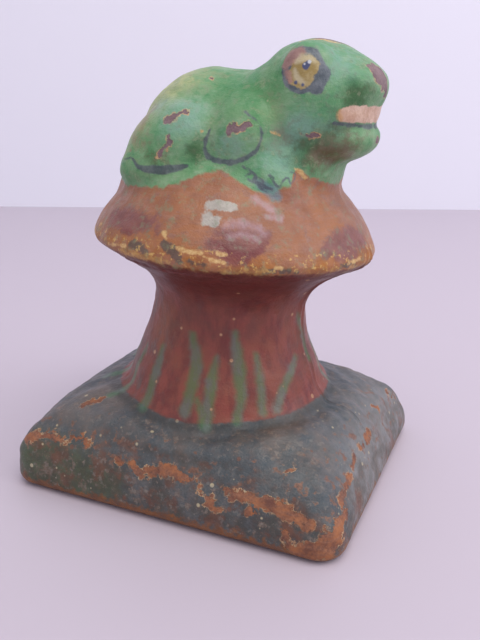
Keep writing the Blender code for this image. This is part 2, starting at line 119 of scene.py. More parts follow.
# Painted shapes, by the side that they are looked at from. Each is a row of touching dabs: two
# coordinates and a radius. On the right and left flanks, the eyes and the sides of the mouth the
# coordinates are x and z, above they are x and y, on the nose y and z, and round they are the angle
# about the stem and z.
DABS = {
    "brush_line": {
        "right": (
            ((4.7, 88.9, 0.28), (3.9, 85.6, 0.48), (4.3, 83.5, 0.52), (6.3, 82.5, 0.6),
             (10.9, 82.4, 0.62), (14.5, 84.0, 0.52), (16.0, 86.1, 0.4), (16.5, 88.3, 0.3)),
            ((16.5, 88.3, 0.28), (15.5, 90.7, 0.2), (12.7, 92.7, 0.12)),
            ((-15.4, 81.8, 0.22), (-12.9, 82.2, 0.25), (-11.1, 80.7, 0.4), (-8.1, 80.2, 0.9),
             (-5.3, 80.2, 0.95), (-2.0, 80.5, 0.8), (0.6, 81.3, 0.3)),
            ((14.0, 81.2, 0.2), (15.9, 79.7, 0.32), (15.5, 78.7, 0.4), (17.4, 77.8, 0.5),
             (19.4, 77.0, 0.3)),
            ((19.5, 79.4, 0.2), (18.7, 79.8, 0.3), (20.8, 77.5, 0.32), (21.4, 78.8, 0.28),
             (22.1, 79.2, 0.22), (22.7, 78.2, 0.28), (23.1, 78.8, 0.22), (23.0, 80.0, 0.2),
             (22.2, 80.4, 0.18)),
            ((12.8, 81.6, 0.18), (14.6, 80.2, 0.24), (13.6, 79.6, 0.2), (15.4, 78.4, 0.28)),
            ((16.6, 79.4, 0.18), (17.6, 78.6, 0.22), (16.8, 77.6, 0.26), (18.6, 76.4, 0.2)),
        ),
        "left": (
            ((4.4, 88.5, 0.3), (3.9, 85.0, 0.55), (6.0, 82.6, 0.7), (11.2, 82.4, 0.7),
             (15.2, 84.6, 0.55), (16.2, 88.0, 0.3), (13.8, 91.8, 0.15)),
            ((-15.2, 82.0, 0.25), (-11.4, 80.8, 0.5), (-6.0, 80.1, 0.9), (0.2, 81.2, 0.4)),
            ((14.8, 80.4, 0.25), (17.0, 78.2, 0.4), (19.6, 77.2, 0.3), (20.4, 78.9, 0.25),
             (21.6, 77.6, 0.28), (22.6, 79.4, 0.2)),
        ),
        "mouth": (((30.4, 90.7, 0.3), (32.4, 90.3, 0.5), (34.6, 89.9, 0.42), (36.4, 89.5, 0.6)),),
        "nose": (((-0.8, 89.4, 0.6), (1.5, 89.5, 0.4)),),
    },
    "mouth": {
        "mouth": (
            ((32.0, 92.7, 1.0), (33.6, 92.5, 1.5), (35.4, 92.4, 1.8)),
            ((31.9, 91.6, 0.7), (33.8, 91.4, 0.9)),
        ),
        "nose": (((-6.5, 92.2, 1.7), (0, 92.0, 1.8), (6.5, 92.2, 1.7)),),
    },
    "mouth_ochre": {"mouth": (((31.5, 93.2, 0.35), (31.5, 92.1, 0.6), (31.7, 91.2, 0.4)),)},
    "eye_ring": {"eyes": (((23.7, 101.3, 4.9),), ((26.8, 98.4, 2.0), (27.8, 100.4, 1.9)))},
    "eye_wear": {
        "eyes": (
            ((19.8, 102.2, 0.9), (21.0, 103.6, 1.8), (23.2, 104.8, 1.1)),
            ((20.4, 100.6, 0.7), (21.2, 99.0, 0.5)),
        ),
    },
    "eye_white": {"eyes": (((23.4, 100.2, 2.7), (24.8, 101.6, 2.4)), ((22.4, 102.4, 1.2),))},
    "eye_cream": {
        "eyes": (
            ((22.6, 102.8, 0.6), (24.4, 103.5, 0.9), (26.0, 103.0, 0.5)),
            ((22.4, 101.0, 0.5), (22.8, 99.6, 0.5), (24.4, 98.6, 0.4)),
        ),
    },
    "pupil": {
        "eyes": (
            ((24.5, 101.9, 0.75), (24.9, 102.3, 0.65)), ((22.6, 98.6, 0.35),), ((24.2, 98.2, 0.3),),
        ),
    },
    # painted highlight: a pale glint on each pupil
    "pupil_light": {"eyes": (((25.3, 102.7, 0.4),), ((24.3, 102.3, 0.2),))},
    "bluish": {
        "right": (((16.2, 78.7, 0.6), (18.0, 77.4, 1.4), (19.8, 76.4, 1.5), (21.0, 75.6, 0.8)),),
        "left": (((17.0, 78.0, 0.8), (19.6, 76.6, 1.4)),),
    },
    "grass": {
        "round": (
            ((-113, 36.7, 0.9), (-113, 30.4, 1.5), (-114, 22.6, 1.3)),
            ((-91, 41.5, 0.9), (-85, 35.5, 1.5), (-85, 30.4, 1.5), (-88, 24.0, 1.6)),
            ((-72, 37.0, 0.5), (-74, 31.2, 1.4), (-76, 22.0, 1.6)),
            ((-62, 42.5, 0.9), (-58, 34.9, 1.6), (-57, 28.5, 1.3), (-60, 23.0, 1.2)),
            ((-46, 37.0, 0.7), (-45, 32.6, 1.0), (-46, 24.4, 1.2)),
            ((-15, 33.8, 0.9), (-28, 29.3, 1.3), (-38, 24.2, 1.1)),
            ((-9, 44.0, 0.6), (-3, 38.6, 1.0), (0, 32.0, 0.8)), ((-82, 27.2, 0.9), (-75, 22.6, 1.2)),
            ((24, 38.0, 0.8), (20, 30.0, 1.3), (22, 23.0, 1.2)),
            ((48, 41.0, 0.8), (43, 33.0, 1.4), (45, 23.0, 1.4)),
            ((66, 35.0, 0.7), (72, 28.0, 1.3), (71, 22.5, 1.3)),
            ((98, 40.0, 0.8), (93, 31.0, 1.5), (95, 22.5, 1.4)),
            ((118, 36.0, 0.8), (122, 28.0, 1.2), (120, 22.5, 1.2)),
            ((147, 42.0, 0.8), (142, 33.0, 1.4), (145, 23.0, 1.5)),
            ((168, 37.0, 0.7), (173, 29.0, 1.2), (171, 22.5, 1.3)),
            ((-160, 40.0, 0.8), (-154, 31.0, 1.4), (-157, 22.5, 1.4)),
            ((-132, 35.0, 0.7), (-136, 28.0, 1.2), (-134, 22.5, 1.2)),
        ),
    },
    "cap_spot": {
        "round": (
            ((-127, 69.5, 1.8), (-117, 69.8, 2.8), (-107, 69.6, 2.2), (-99, 70.6, 0.9)),
            ((-101, 71.4, 0.6), (-98, 69.6, 0.8), (-97, 68.1, 0.5)),
            ((-75, 67.0, 1.2), (-68, 66.4, 2.4), (-60, 66.6, 2.6), (-54, 68.4, 1.5)),
            ((-72, 69.0, 1.2), (-63, 69.4, 1.6), (-56, 69.2, 1.0)),
            ((-30, 64.4, 1.7), (-21, 65.2, 3.2), (-11, 65.6, 3.0), (-5, 64.6, 1.8)),
            ((-25, 62.8, 1.4), (-15, 62.6, 1.7)), ((28, 66.5, 1.8), (36, 67.2, 2.8), (44, 67.0, 1.7)),
            ((78, 68.0, 1.4), (87, 68.6, 2.7), (96, 68.2, 1.9)),
            ((132, 69.0, 1.8), (141, 69.6, 2.8), (149, 69.2, 1.5)),
            ((-172, 70.0, 1.6), (-164, 70.4, 2.6), (-156, 70.0, 1.4)),
        ),
    },
    "smudge": {
        "round": (
            ((-78, 74.0, 1.2), (-73, 74.1, 1.5), (-68, 73.6, 1.3)),
            ((-78, 72.0, 1.3), (-75.5, 71.4, 1.6), (-73, 71.8, 1.1)),
            ((112, 72.0, 0.9), (117, 71.6, 1.1)),
        ),
    },
    "lilac": {
        "round": (
            ((-70, 70.4, 0.8), (-64, 70.8, 1.2), (-58, 70.1, 1.1), (-55, 69.0, 0.7)),
            ((-68, 68.6, 0.5), (-63, 69.0, 0.7), (-58, 68.0, 0.6)),
            ((-57, 75.6, 0.7), (-54, 74.3, 1.0), (-50, 73.1, 1.1)),
            ((-52, 72.0, 0.6), (-47, 71.6, 0.9)), ((38, 69.0, 0.8), (44, 68.6, 1.0), (50, 69.4, 0.6)),
            ((136, 71.4, 0.8), (143, 71.6, 1.1), (148, 70.8, 0.7)),
        ),
    },
    "swirl_red": {
        "round": (
            ((-74, 68.0, 0.5), (-70, 66.0, 0.9), (-64, 64.8, 1.1), (-58, 65.6, 0.9), (-54, 67.2, 0.5)),
            ((-71, 65.0, 0.5), (-66, 63.8, 0.8), (-61, 64.0, 0.6)),
            ((-116, 67.6, 0.5), (-110, 67.4, 0.8)),
        ),
    },
    "primer_fleck": {
        "round": (
            ((-121, 64.0, 0.35), (-115, 64.5, 0.4), (-110, 64.8, 0.3)),
            ((-94, 68.5, 0.45), (-92, 67.5, 0.3)),
            ((-87, 66.0, 0.35), (-83, 65.5, 0.5), (-78, 65.3, 0.4)),
            ((-77, 64.7, 0.3), (-73, 64.0, 0.55), (-70, 63.6, 0.4)),
            ((-72, 65.4, 0.5), (-69, 65.1, 0.3)), ((-52, 62.4, 0.3), (-50, 62.3, 0.35)),
            ((-20, 61.0, 0.3), (-12, 61.2, 0.4)), ((20, 61.4, 0.4), (28, 62.0, 0.5), (36, 62.2, 0.3)),
            ((70, 63.4, 0.5), (80, 64.0, 0.4)), ((120, 64.8, 0.4), (128, 65.2, 0.6), (137, 65.4, 0.3)),
            ((160, 65.4, 0.4), (170, 65.6, 0.5)),
            ((-152, 64.8, 0.4), (-144, 64.6, 0.55), (-137, 64.4, 0.3)),
        ),
        "right": (
            ((3.0, 88.4, 0.36),), ((22.8, 81.2, 0.22), (23.9, 80.4, 0.38), (24.9, 79.0, 0.25)),
            ((17.8, 88.6, 0.15), (19.4, 87.8, 0.2)),
        ),
        "above": (((20.0, -4.0, 0.4), (24.0, -3.0, 0.5), (28.0, -2.0, 0.4)),),
        "left": (((6.0, 84.0, 0.4),),),
    },
    "rim_grey": {
        "round": (
            ((-107, 65.7, 0.9), (-103, 65.2, 1.1), (-100, 64.2, 0.8)),
            ((-93, 66.5, 0.9), (-90, 65.6, 1.2), (-86, 64.1, 0.9)),
            ((-82, 63.7, 0.5), (-77, 63.0, 0.6)),
            ((-62, 62.6, 0.4), (-50, 61.6, 0.5), (-44, 61.0, 0.4)),
            ((-24, 60.8, 0.6), (-18, 60.6, 0.7)), ((58, 65.6, 0.9), (62, 65.0, 1.1)),
            ((108, 65.0, 0.8), (112, 65.6, 1.0)), ((176, 67.0, 0.9), (180, 66.2, 0.8)),
        ),
    },
    "chip_purple": {
        "right": (
            ((9.6, 88.8, 0.7), (10.6, 89.4, 1.1), (12.2, 89.6, 0.6), (14.0, 90.2, 0.65)),
            ((-4.6, 90.8, 1.0), (-3.6, 91.2, 1.0), (-2.0, 92.2, 0.35), (-0.9, 92.4, 0.4)),
            ((-3.7, 87.2, 0.45), (-3.5, 85.7, 0.7), (-4.9, 84.4, 0.5), (-5.5, 83.4, 0.5)),
            ((0.8, 99.2, 0.45),), ((24.2, 88.2, 0.2), (26.2, 88.0, 0.45), (27.2, 88.2, 0.25)),
        ),
        "nose": (
            ((-5.4, 101.8, 1.0), (-4.6, 100.6, 1.6), (-3.0, 99.2, 2.0), (-1.0, 97.6, 1.2)),
            ((-3.2, 101.8, 1.1), (-1.6, 100.4, 1.6), (-0.6, 96.4, 0.8)), ((-1.2, 86.6, 0.8),),
        ),
        "above": (
            ((22.0, -2.0, 0.5), (25.0, -1.0, 0.7), (29.0, 0.0, 0.5)),
            ((-14.0, 6.0, 0.9), (-12.2, 7.4, 1.2), (-10.0, 7.2, 0.6)),
        ),
        "left": (
            ((8.0, 90.0, 0.8), (10.4, 90.6, 1.0), (12.6, 89.8, 0.5)),
            ((-9.0, 88.6, 0.7), (-7.0, 89.6, 1.2), (-5.2, 89.2, 0.6)),
            ((26.0, 90.8, 0.4), (28.4, 91.2, 0.5)),
        ),
    },
    "chip_rust": {
        "round": (
            ((-140.5, 11.8, 0.7), (-134, 14.2, 1.1), (-130, 13.8, 0.5), (-126, 15.3, 0.8),
             (-122, 14.4, 0.9)),
            ((-48, 2.6, 1.8), (-43.6, 3.6, 2.6), (-41, 6.4, 2.4), (-38, 8.2, 1.5), (-34, 8.8, 1.2)),
            ((139, 4.6, 1.2), (142, 7.0, 1.5), (140, 9.6, 0.9)),
        ),
        "right": (
            ((-12.4, 13.0, 0.5), (-8.5, 12.4, 0.7), (-5.4, 11.6, 0.9), (-1.8, 12.4, 1.3),
             (2.4, 13.0, 1.4), (5.0, 12.5, 1.1), (7.6, 12.3, 0.8)),
            ((10.4, 11.2, 0.4), (12.6, 9.0, 0.9), (15.3, 7.6, 0.5)),
            ((16.8, 11.8, 1.0), (19.8, 11.6, 1.4), (23.6, 11.4, 1.3), (28.2, 10.9, 1.5),
             (32.6, 9.8, 1.2), (36.4, 9.0, 0.8)), ((22.6, 10.0, 0.5), (22.8, 8.6, 0.5)),
            ((31.0, 6.4, 0.4), (31.6, 5.0, 0.5)),
        ),
        "above": (
            ((41.0, -27.5, 0.9), (40.8, -23.0, 0.8), (40.6, -18.0, 0.6), (39.8, -12.7, 0.5)),
            ((39.8, -7.3, 0.35), (40.2, -2.0, 0.7), (40.0, 2.0, 0.8)),
            ((38.2, 12.4, 0.5), (39.4, 14.2, 0.6)), ((39.0, 27.0, 0.8), (40.2, 29.0, 0.6)),
            ((28.8, -30.0, 0.5), (29.6, -29.2, 0.4)),
            ((-28.0, -26.6, 0.5), (-25.2, -25.4, 0.8), (-22.2, -23.8, 0.5)),
            ((-40.0, -14.0, 0.7), (-40.4, -8.0, 1.1), (-40.2, 1.0, 0.9)),
            ((-40.0, 14.0, 0.6), (-40.4, 19.0, 1.0), (-39.6, 24.0, 0.8)),
        ),
        "left": (
            ((-30.0, 13.0, 0.8), (-24.0, 12.6, 1.2), (-17.0, 12.8, 0.9)),
            ((2.0, 12.4, 0.6), (7.0, 12.8, 1.3), (15.0, 12.2, 1.2), (19.0, 11.6, 0.6)),
            ((30.0, 10.6, 0.8), (35.0, 9.4, 1.2), (38.0, 8.6, 0.8)),
        ),
    },
}

# Soft changes of tone, some of them painted highlight, sheen and shade: the region that each
# keeps to, then its centres, radii and strengths.
TINTS = {
    # pale yellow-green, a painted highlight on the back's top and upper flanks
    "yellow_green_highlight": ("green", (
        ((-11, -9, 96), 10, 1.0), ((-14, 3, 93), 10, 1.0), ((-15, -14, 88), 7, 0.9),
        ((19, -13, 91), 4, 0.5), ((-8, 10, 94), 9, 0.7), ((5, -18, 90), 3.5, 0.35),
        ((14, -17, 84), 3, 0.3),)),
    "cooler": ("green", (
        ((-2, -17, 90), 6, 1.0), ((10, -18, 86), 4, 0.7), ((30, -8, 102), 7, 0.6),
        ((20, -15, 83), 6, 0.7), ((1, 17, 90), 6, 0.9), ((30, 8, 102), 7, 0.6),
        ((24, -14, 89.5), 4.5, 0.8), ((-10, -16, 94), 3, 0.7), ((30, -11, 88), 3.5, 0.7),)),
    "deep": ("green", (
        ((12, -14, 95), 6, 0.8), ((27, -12, 92.4), 3.5, 0.8), ((6, -10, 99), 6, 0.7),
        ((16, -17, 90), 3.5, 0.6), ((-6, -20, 86.5), 3, 0.6), ((18, -12, 98), 4, 0.6),
        ((12, 14, 95), 6, 0.8), ((27, 12, 92.4), 3.5, 0.8), ((6, 10, 99), 6, 0.7),)),
    "shaded": ("green", (
        ((2.4, -20, 84.6), 2.8, 1.0), ((29, -9, 86), 5.5, 0.9), ((34, -9, 96), 4.2, 0.9),
        ((-7, -22, 82.5), 3.6, 0.6), ((24, -13, 84), 4.5, 0.6), ((2.4, 20, 84.6), 2.6, 1.0),
        ((29, 9, 86), 5.5, 0.9), ((34, 9, 96), 4.2, 0.9), ((-7, 22, 82.5), 4.5, 0.6),
        ((24, 13, 84), 5, 0.6),)),
    # brown: painted shade under the jaw and throat, and a brown tone on the thigh, elbow and rump
    "ruddy_and_jaw_shade": ("green", (
        ((31, -8, 85), 4.5, 0.9), ((-12, -16, 91.5), 3.2, 0.9), ((31, 8, 85), 4.5, 0.9),
        ((-12, -19, 86), 3, 0.7), ((19, -14, 87.5), 3, 0.6), ((-16, 8, 88), 5, 0.6),
        ((-5, -21, 83.5), 2.2, 0.7), ((27, -11, 83), 3, 0.6),)),
    "rosy": ("orange", (
        ((14, -29, 67), 7, 0.8), ((24, -18, 73), 6, 0.6), ((-20, -22, 71), 7, 0.5),
        ((32, 6, 66), 8, 0.6), ((4, 30, 68), 8, 0.7), ((-26, 12, 68), 8, 0.6),)),
    "sooty": ("orange", (
        ((20, -22, 66), 6, 0.7), ((-16, -24, 73), 5, 0.6), ((30, -16, 63), 5, 0.5),
        ((-28, -8, 68), 6, 0.5), ((10, 32, 66), 7, 0.6), ((34, 12, 66), 5, 0.5),)),
    "brown_streak": ("maroon", (
        ((-8, -19, 44), 5, 0.9), ((-9, -18, 38), 5, 0.7), ((8, 18, 42), 6, 0.7),)),
    "dusty": ("plinth", (
        ((0, 0, 24), 31, 0.85), ((-27, -22, 21), 12, 1.0), ((22, 20, 22), 15, 0.8),
        ((-20, 24, 22), 14, 0.8), ((26, -20, 20), 9, 0.7),)),
    "mossy": ("plinth", (
        ((-36, -37, 6), 9, 1.0), ((-24, -38, 6), 9, 0.9), ((-13, -38, 7), 5, 0.7),
        ((-44, 12, 7), 9, 0.7), ((20, 38, 7), 10, 0.7),)),
    # lighter grey on the plinth's ends, mostly the right: a painted sheen
    "plinth_end_sheen": ("plinth", (
        ((44, -14, 7), 12, 1.0), ((44, 4, 8), 14, 1.0), ((44, 22, 8), 12, 1.0),
        ((-44, -10, 7), 9, 0.6),)),
    # grey over the maroon round the stem: dust, and a painted sheen along its left and right edges
    "stem_dust_and_sheen": ("maroon", (
        ((-20, -10, 36), 14, 0.9), ((-14, -20, 24), 7, 0.6), ((22, 4, 40), 8, 0.9),
        ((-16, 14, 30), 12, 0.8), ((4, 22, 34), 10, 0.6),)),
}


# ------------------------------------------------------------------------------- the sculpted shape

def length(vectors):
    return np.sqrt((vectors * vectors).sum(-1))


def step_up(low, high, values):
    t = np.clip((values - low) / (high - low), 0, 1)
    return t * t * (3 - 2 * t)


def blend(one, other, width):
    """The union of two shapes with a soft fillet between them."""
    t = np.clip(0.5 + 0.5 * (other - one) / width, 0, 1)
    return other * (1 - t) + one * t - width * t * (1 - t)


def round_edge(one, other, radius):
    """What two shapes share, with the edge between them rounded."""
    a, b = np.maximum(one + radius, 0), np.maximum(other + radius, 0)
    return np.minimum(np.maximum(one, other), -radius) + np.sqrt(a * a + b * b)


def turn(axis, degrees):
    return np.array(Matrix.Rotation(math.radians(degrees), 3, axis))


def egg(points, centre, radii, tilt):
    """Distance to an ellipsoid whose +X end is lifted by the tilt."""
    local = (points - centre) @ turn("Y", -tilt)
    size = length(local / radii)
    return size * (size - 1) / np.maximum(length(local / np.square(radii)), 1e-9)


def along(pairs, values):
    """A smooth curve through (place, value) pairs."""
    at, value = np.array(pairs, float).T
    slope = np.gradient(value, at)
    i = np.clip(np.searchsorted(at, values) - 1, 0, len(at) - 2)
    gap = at[i + 1] - at[i]
    t = np.clip((values - at[i]) / gap, 0, 1)
    near = (2 * t**3 - 3 * t**2 + 1) * value[i] + (t**3 - 2 * t**2 + t) * gap * slope[i]
    far = (3 * t**2 - 2 * t**3) * value[i + 1] + (t**3 - t**2) * gap * slope[i + 1]
    return near + far


def plinth(p, foot):
    """A cushion-topped block. Its sides lean in, and its foot is flat or, for the core, open."""
    x, y, z = np.abs(p[..., 0]), np.abs(p[..., 1]), p[..., 2]
    beyond_x = x - (PLINTH_HALF[0] - PLINTH_CORNER)
    beyond_y = y - (PLINTH_HALF[1] - PLINTH_CORNER)
    corner = np.hypot(np.maximum(beyond_x, 0), np.maximum(beyond_y, 0))
    side = corner + np.minimum(np.maximum(beyond_x, beyond_y), 0) - PLINTH_CORNER + 0.13 * z
    swell_x = 1 - np.clip(x / PLINTH_HALF[0], 0, 1) ** 3.5
    swell_y = 1 - np.clip(y / PLINTH_HALF[1], 0, 1) ** 3.5
    top = 13.1 - 0.03 * p[..., 0] + 11.5 * swell_x * swell_y
    block = round_edge(side, (z - top) * 0.9, PLINTH_EDGE)
    return round_edge(block, -z, FOOT_EDGE) if foot else np.maximum(block, -z - 6)


def stem_axis(z):
    """How far forward of the origin the leaning stem's axis is."""
    return 0.3 + 2.4 * step_up(32, 56, z)


def stem(p):
    z = p[..., 2]
    x = p[..., 0] - stem_axis(z)
    tilted = z + 0.07 * x * step_up(38, 50, z)
    wall = (np.hypot(x, p[..., 1]) - along(STEM_OUTLINE, tilted)) * 0.85
    return np.maximum(np.maximum(wall, z - 59), 8 - z)


def in_cap(p):
    """Points in the tilted cap's own frame, whose origin is at the middle of its rim."""
    return (p - CAP_CENTRE) @ (turn("Y", CAP_TILT[1]) @ turn("X", -CAP_TILT[0]))


def cap(p):
    local = in_cap(p)
    radius, z = np.hypot(local[..., 0], local[..., 1]), local[..., 2]
    up = np.clip(z, 0, 25)
    dome = (radius - (CAP_RADIUS - 0.27 * up - 0.029 * up**2)) * 0.8
    underside = (-(z + 0.5) + (radius - CAP_RADIUS) * 0.36) * 0.9
    return round_edge(np.maximum(dome, z - 20), underside, 2.0)


def frog(p):
    paired = p * (1, 0, 1) + np.abs(p) * (0, 1, 0)
    shape = None
    for centre, radii, tilt, width in FROG_MASSES.values():
        mass = egg(paired if centre[1] else p, centre, radii, tilt)
        shape = mass if shape is None else blend(shape, mass, width)
    return shape


def ripple(p, wave, seed):
    """Soft lumps of about one wave across, between -1 and 1."""
    x, y, z = (p * (2 * math.pi / wave)).T
    return (
        np.sin(x + 1.3 * np.sin(0.7 * y + seed))
        * np.sin(1.1 * y + 1.2 * np.sin(0.8 * z + 2.1 * seed))
        * np.cos(0.9 * z + 1.1 * np.sin(0.9 * x + 0.7 * seed))
    )


def seam_ridge(p):
    """The fettled flash along the joint: plain to see up the stem's front, and low elsewhere."""
    x, y, z = p.T
    front = step_up(2, 12, x)
    low_on_plinth = 0.45 * (1 - step_up(22, 26, z)) * step_up(14, 20, z) * front
    on_stem = 0.62 * front * step_up(22, 30, z) * (1 - step_up(60, 64, z))
    lip = np.exp(-(((y + 2.1) / 0.75) ** 2)) + 0.6 * np.exp(-(((y - 0.2) / 0.5) ** 2))
    return lip * (low_on_plinth + on_stem) + 0.06 * np.exp(-((y / 0.7) ** 2))


def fold(p):
    """The slack lip in the plinth's top round the front of the stem, and the dip behind it."""
    x, y, z = p.T
    radius = np.hypot(x, y)
    front_right = step_up(0.1, 0.8, (0.6 * x - 0.8 * y) / np.maximum(radius, 1))
    lip = 0.75 * np.exp(-(((radius - 34) / 3.2) ** 2)) - 0.7 * np.exp(-(((radius - 29) / 2.0) ** 2))
    return lip * front_right * step_up(15, 18, z) * (1 - step_up(24, 27, z))


def figure(p, foot=True):
    shape = blend(plinth(p, foot), stem(p), 3.0)
    shape = blend(shape, cap(p), 3.0)
    return blend(shape, frog(p), 2.5)


def skin(p):
    """The figure with the lumps and seam that casting and fettling leave."""
    clear_of_foot = step_up(0.5, 6, p[..., 2])
    low = 1 - step_up(20, 30, p[..., 2])
    lumps = ripple(p, 17, 1.7) * (0.16 + 0.2 * low) + ripple(p, 6.5, 0.4) * (0.07 + 0.06 * low)
    return figure(p) - clear_of_foot * (lumps + seam_ridge(p) + fold(p))


def core(p):
    """The hollow: everything deeper than the wall, open at the foot."""
    return figure(p, foot=False) + WALL


PROBE = 0.05
CORNERS = np.array(((1, -1, -1), (-1, -1, 1), (-1, 1, -1), (1, 1, 1)), float)


def gradient(shape, points):
    return sum(c * shape(points + PROBE * c)[:, None] for c in CORNERS) / (4 * PROBE)


def settle(points, shape, rounds, longest=1.0):
    """Move points onto a shape's surface, each along the shape's own slope."""
    for _ in range(rounds):
        slope = gradient(shape, points)
        step = shape(points)[:, None] * slope / np.maximum((slope**2).sum(1), 0.1)[:, None]
        points = points - step * np.minimum(1, longest / np.maximum(length(step), 1e-9))[:, None]
    return points


# ------------------------------------------------------------------------------------- mesh tools

def coordinates(mesh):
    """A mesh's vertices in millimetres."""
    flat = np.empty(len(mesh.vertices) * 3)
    mesh.vertices.foreach_get("co", flat)
    return flat.reshape(-1, 3) / MM


def set_coordinates(mesh, points):
    mesh.vertices.foreach_set("co", (points * MM).ravel())
    mesh.update()


def new_object(name, mesh):
    thing = bpy.data.objects.new(name, mesh)
    PART.objects.link(thing)
    return thing


def evaluated(thing):
    """The mesh that an object's modifiers make. The object goes."""
    graph = bpy.context.evaluated_depsgraph_get()
    mesh = bpy.data.meshes.new_from_object(thing.evaluated_get(graph))
    bpy.data.objects.remove(thing, do_unlink=True)
    return mesh


def remeshed(mesh, voxel):
    thing = new_object("remesh", mesh)
    remesh = thing.modifiers.new("fuse", "REMESH")
    remesh.mode = "VOXEL"
    remesh.voxel_size = voxel * MM
    return evaluated(thing)


def rod(shape, x, z, start, end, radius, sides=48):
    """Add a cylinder that runs along Y from start to end."""
    place = Matrix.Translation(Vector((x, (start + end) / 2, z)) * MM) @ Matrix.Rotation(
        math.pi / 2, 4, "X"
    )
    bmesh.ops.create_cone(
        shape, cap_ends=True, segments=sides, radius1=radius * MM, radius2=radius * MM,
        depth=abs(end - start) * MM, matrix=place,
    )


def block(shape, low, high):
    low, high = Vector(low) * MM, Vector(high) * MM
    size = Matrix.Diagonal((*(high - low), 1))
    bmesh.ops.create_cube(shape, size=1, matrix=Matrix.Translation((low + high) / 2) @ size)


def mesh_of(shape, name):
    mesh = bpy.data.meshes.new(name)
    shape.to_mesh(mesh)
    shape.free()
    return mesh


def carved(mesh, cutters):
    """Cut closed meshes out of a closed mesh."""
    thing = new_object("carved", mesh)
    for cutter in cutters:
        boolean = thing.modifiers.new("cut", "BOOLEAN")
        boolean.operation = "DIFFERENCE"
        boolean.solver = "MANIFOLD"
        boolean.object = cutter
    return evaluated(thing)


# ---------------------------------------------------------------------------------- the two halves

def rough_figure():
    """Overlapping lumps of about the right size, to be fused and settled."""
    shape = bmesh.new()
    half_x, half_y = PLINTH_HALF
    block(shape, (3 - half_x, 3 - half_y, 0), (half_x - 3, half_y - 3, 18))
    for low, high, below, above in (
        (10, 45, 30, 19), (44, 60, 19, 30), (60, 66, 33, 33), (66, 80, 31, 22),
    ):
        place = Matrix.Translation(Vector((CAP_CENTRE[0] * (low > 40), 0, (low + high) / 2)) * MM)
        bmesh.ops.create_cone(
            shape, cap_ends=True, segments=64, radius1=below * MM, radius2=above * MM,
            depth=(high - low) * MM, matrix=place,
        )
    for centre, radii, tilt, _ in FROG_MASSES.values():
        for side in ((1, -1) if centre[1] else (1,)):
            place = Matrix.Translation(Vector((centre[0], side * centre[1], centre[2])) * MM)
            lie = Matrix.Rotation(math.radians(-tilt), 4, "Y")
            size = Matrix.Diagonal((*(Vector(radii) * MM), 1))
            bmesh.ops.create_icosphere(shape, subdivisions=3, radius=1, matrix=place @ lie @ size)
    return mesh_of(shape, "rough_figure")


def make_skin():
    """The whole outside as one fine closed skin, and a coarse one that the core starts from."""
    rough = remeshed(rough_figure(), ROUGH_VOXEL)
    set_coordinates(rough, settle(coordinates(rough), skin, 8))
    fine = remeshed(rough.copy(), SKIN_VOXEL)
    set_coordinates(fine, settle(coordinates(fine), skin, 3))
    return fine, rough


def make_core(rough):
    points = coordinates(rough)
    points = settle(points, lambda p: figure(p, foot=False), 2)
    points = settle(points, core, 9)
    set_coordinates(rough, points)
    return remeshed(rough, HOLLOW_VOXEL)


def make_halves():
    """Cut the right and left castings out of the skin: hollow, seam, floor, bores and seats."""
    fine, rough = make_skin()
    bosses = bmesh.new()
    for place in SCREWS.values():
        rod(bosses, place["x"], place["z"], -PAST_FLANK, PAST_FLANK, BOSS_RADIUS)
    boss_object = new_object("bosses", mesh_of(bosses, "bosses"))
    core_object = new_object("core", carved(make_core(rough), [boss_object]))
    shell = carved(fine, [core_object])
    halves = {}
    for name, side in (("right_half_skin", -1), ("left_half_skin", 1)):
        other = bmesh.new()
        joint = side * SEAM_GAP / 2
        low, high = ((joint, AROUND[1][1]) if side < 0 else (AROUND[0][1], joint))
        block(other, (AROUND[0][0], low, AROUND[0][2]), (AROUND[1][0], high, AROUND[1][2]))
        cuts = [new_object("other_side", mesh_of(other, "other_side"))]
        for place in SCREWS.values():
            hole = bmesh.new()
            end = place["bore_end"] if side < 0 else place["seat"] + 1
            rod(hole, place["x"], place["z"], -side * 2, end, BORE_RADIUS)
            cuts.append(new_object("bore", mesh_of(hole, "bore")))
            if side > 0:
                seat = bmesh.new()
                rod(seat, place["x"], place["z"], place["seat"], PAST_FLANK, SEAT_RADIUS)
                cuts.append(new_object("seat", mesh_of(seat, "seat")))
        halves[name] = carved(shell.copy(), cuts)
        for cut in cuts:
            bpy.data.objects.remove(cut, do_unlink=True)
    for thing in (boss_object, core_object):
        bpy.data.objects.remove(thing, do_unlink=True)
    return halves


# ------------------------------------------------------------------------------------- the painting

LANDING_STEPS = 90
STEP_SHARE = 0.6  # of the distance to the skin, so that no step goes through it


def land(points, ways):
    """Where straight lines from the points first meet the skin."""
    for _ in range(LANDING_STEPS):
        points = points + np.clip(skin(points), -1, 20)[:, None] * STEP_SHARE * ways
    return points


def sight_lines(view, first, second):
    """Where lines of sight start, and the way they go, for one of the views that DABS uses."""
    nil = np.zeros_like(first)
    if view in ("right", "left"):
        side = -1 if view == "right" else 1
        return np.stack((first, nil + side * 60, second), 1), np.array((0, -side, 0)) + nil[:, None]
    if view == "above":
        return np.stack((first, second, nil + 125), 1), np.array((0, 0, -1)) + nil[:, None]
    if view == "nose":
        return np.stack((nil + 60, first, second), 1), np.array((-1, 0, 0)) + nil[:, None]
    out = np.stack((np.cos(np.radians(first)), np.sin(np.radians(first)), nil), 1)
    return np.stack((stem_axis(second), nil, second), 1) + out * 75, -out


BOTH_SIDES = {"eyes": ("right", "left"), "mouth": ("right", "left")}
STEPS_BETWEEN_DABS = 12
FAR = 3.0  # paint further away than this makes no difference


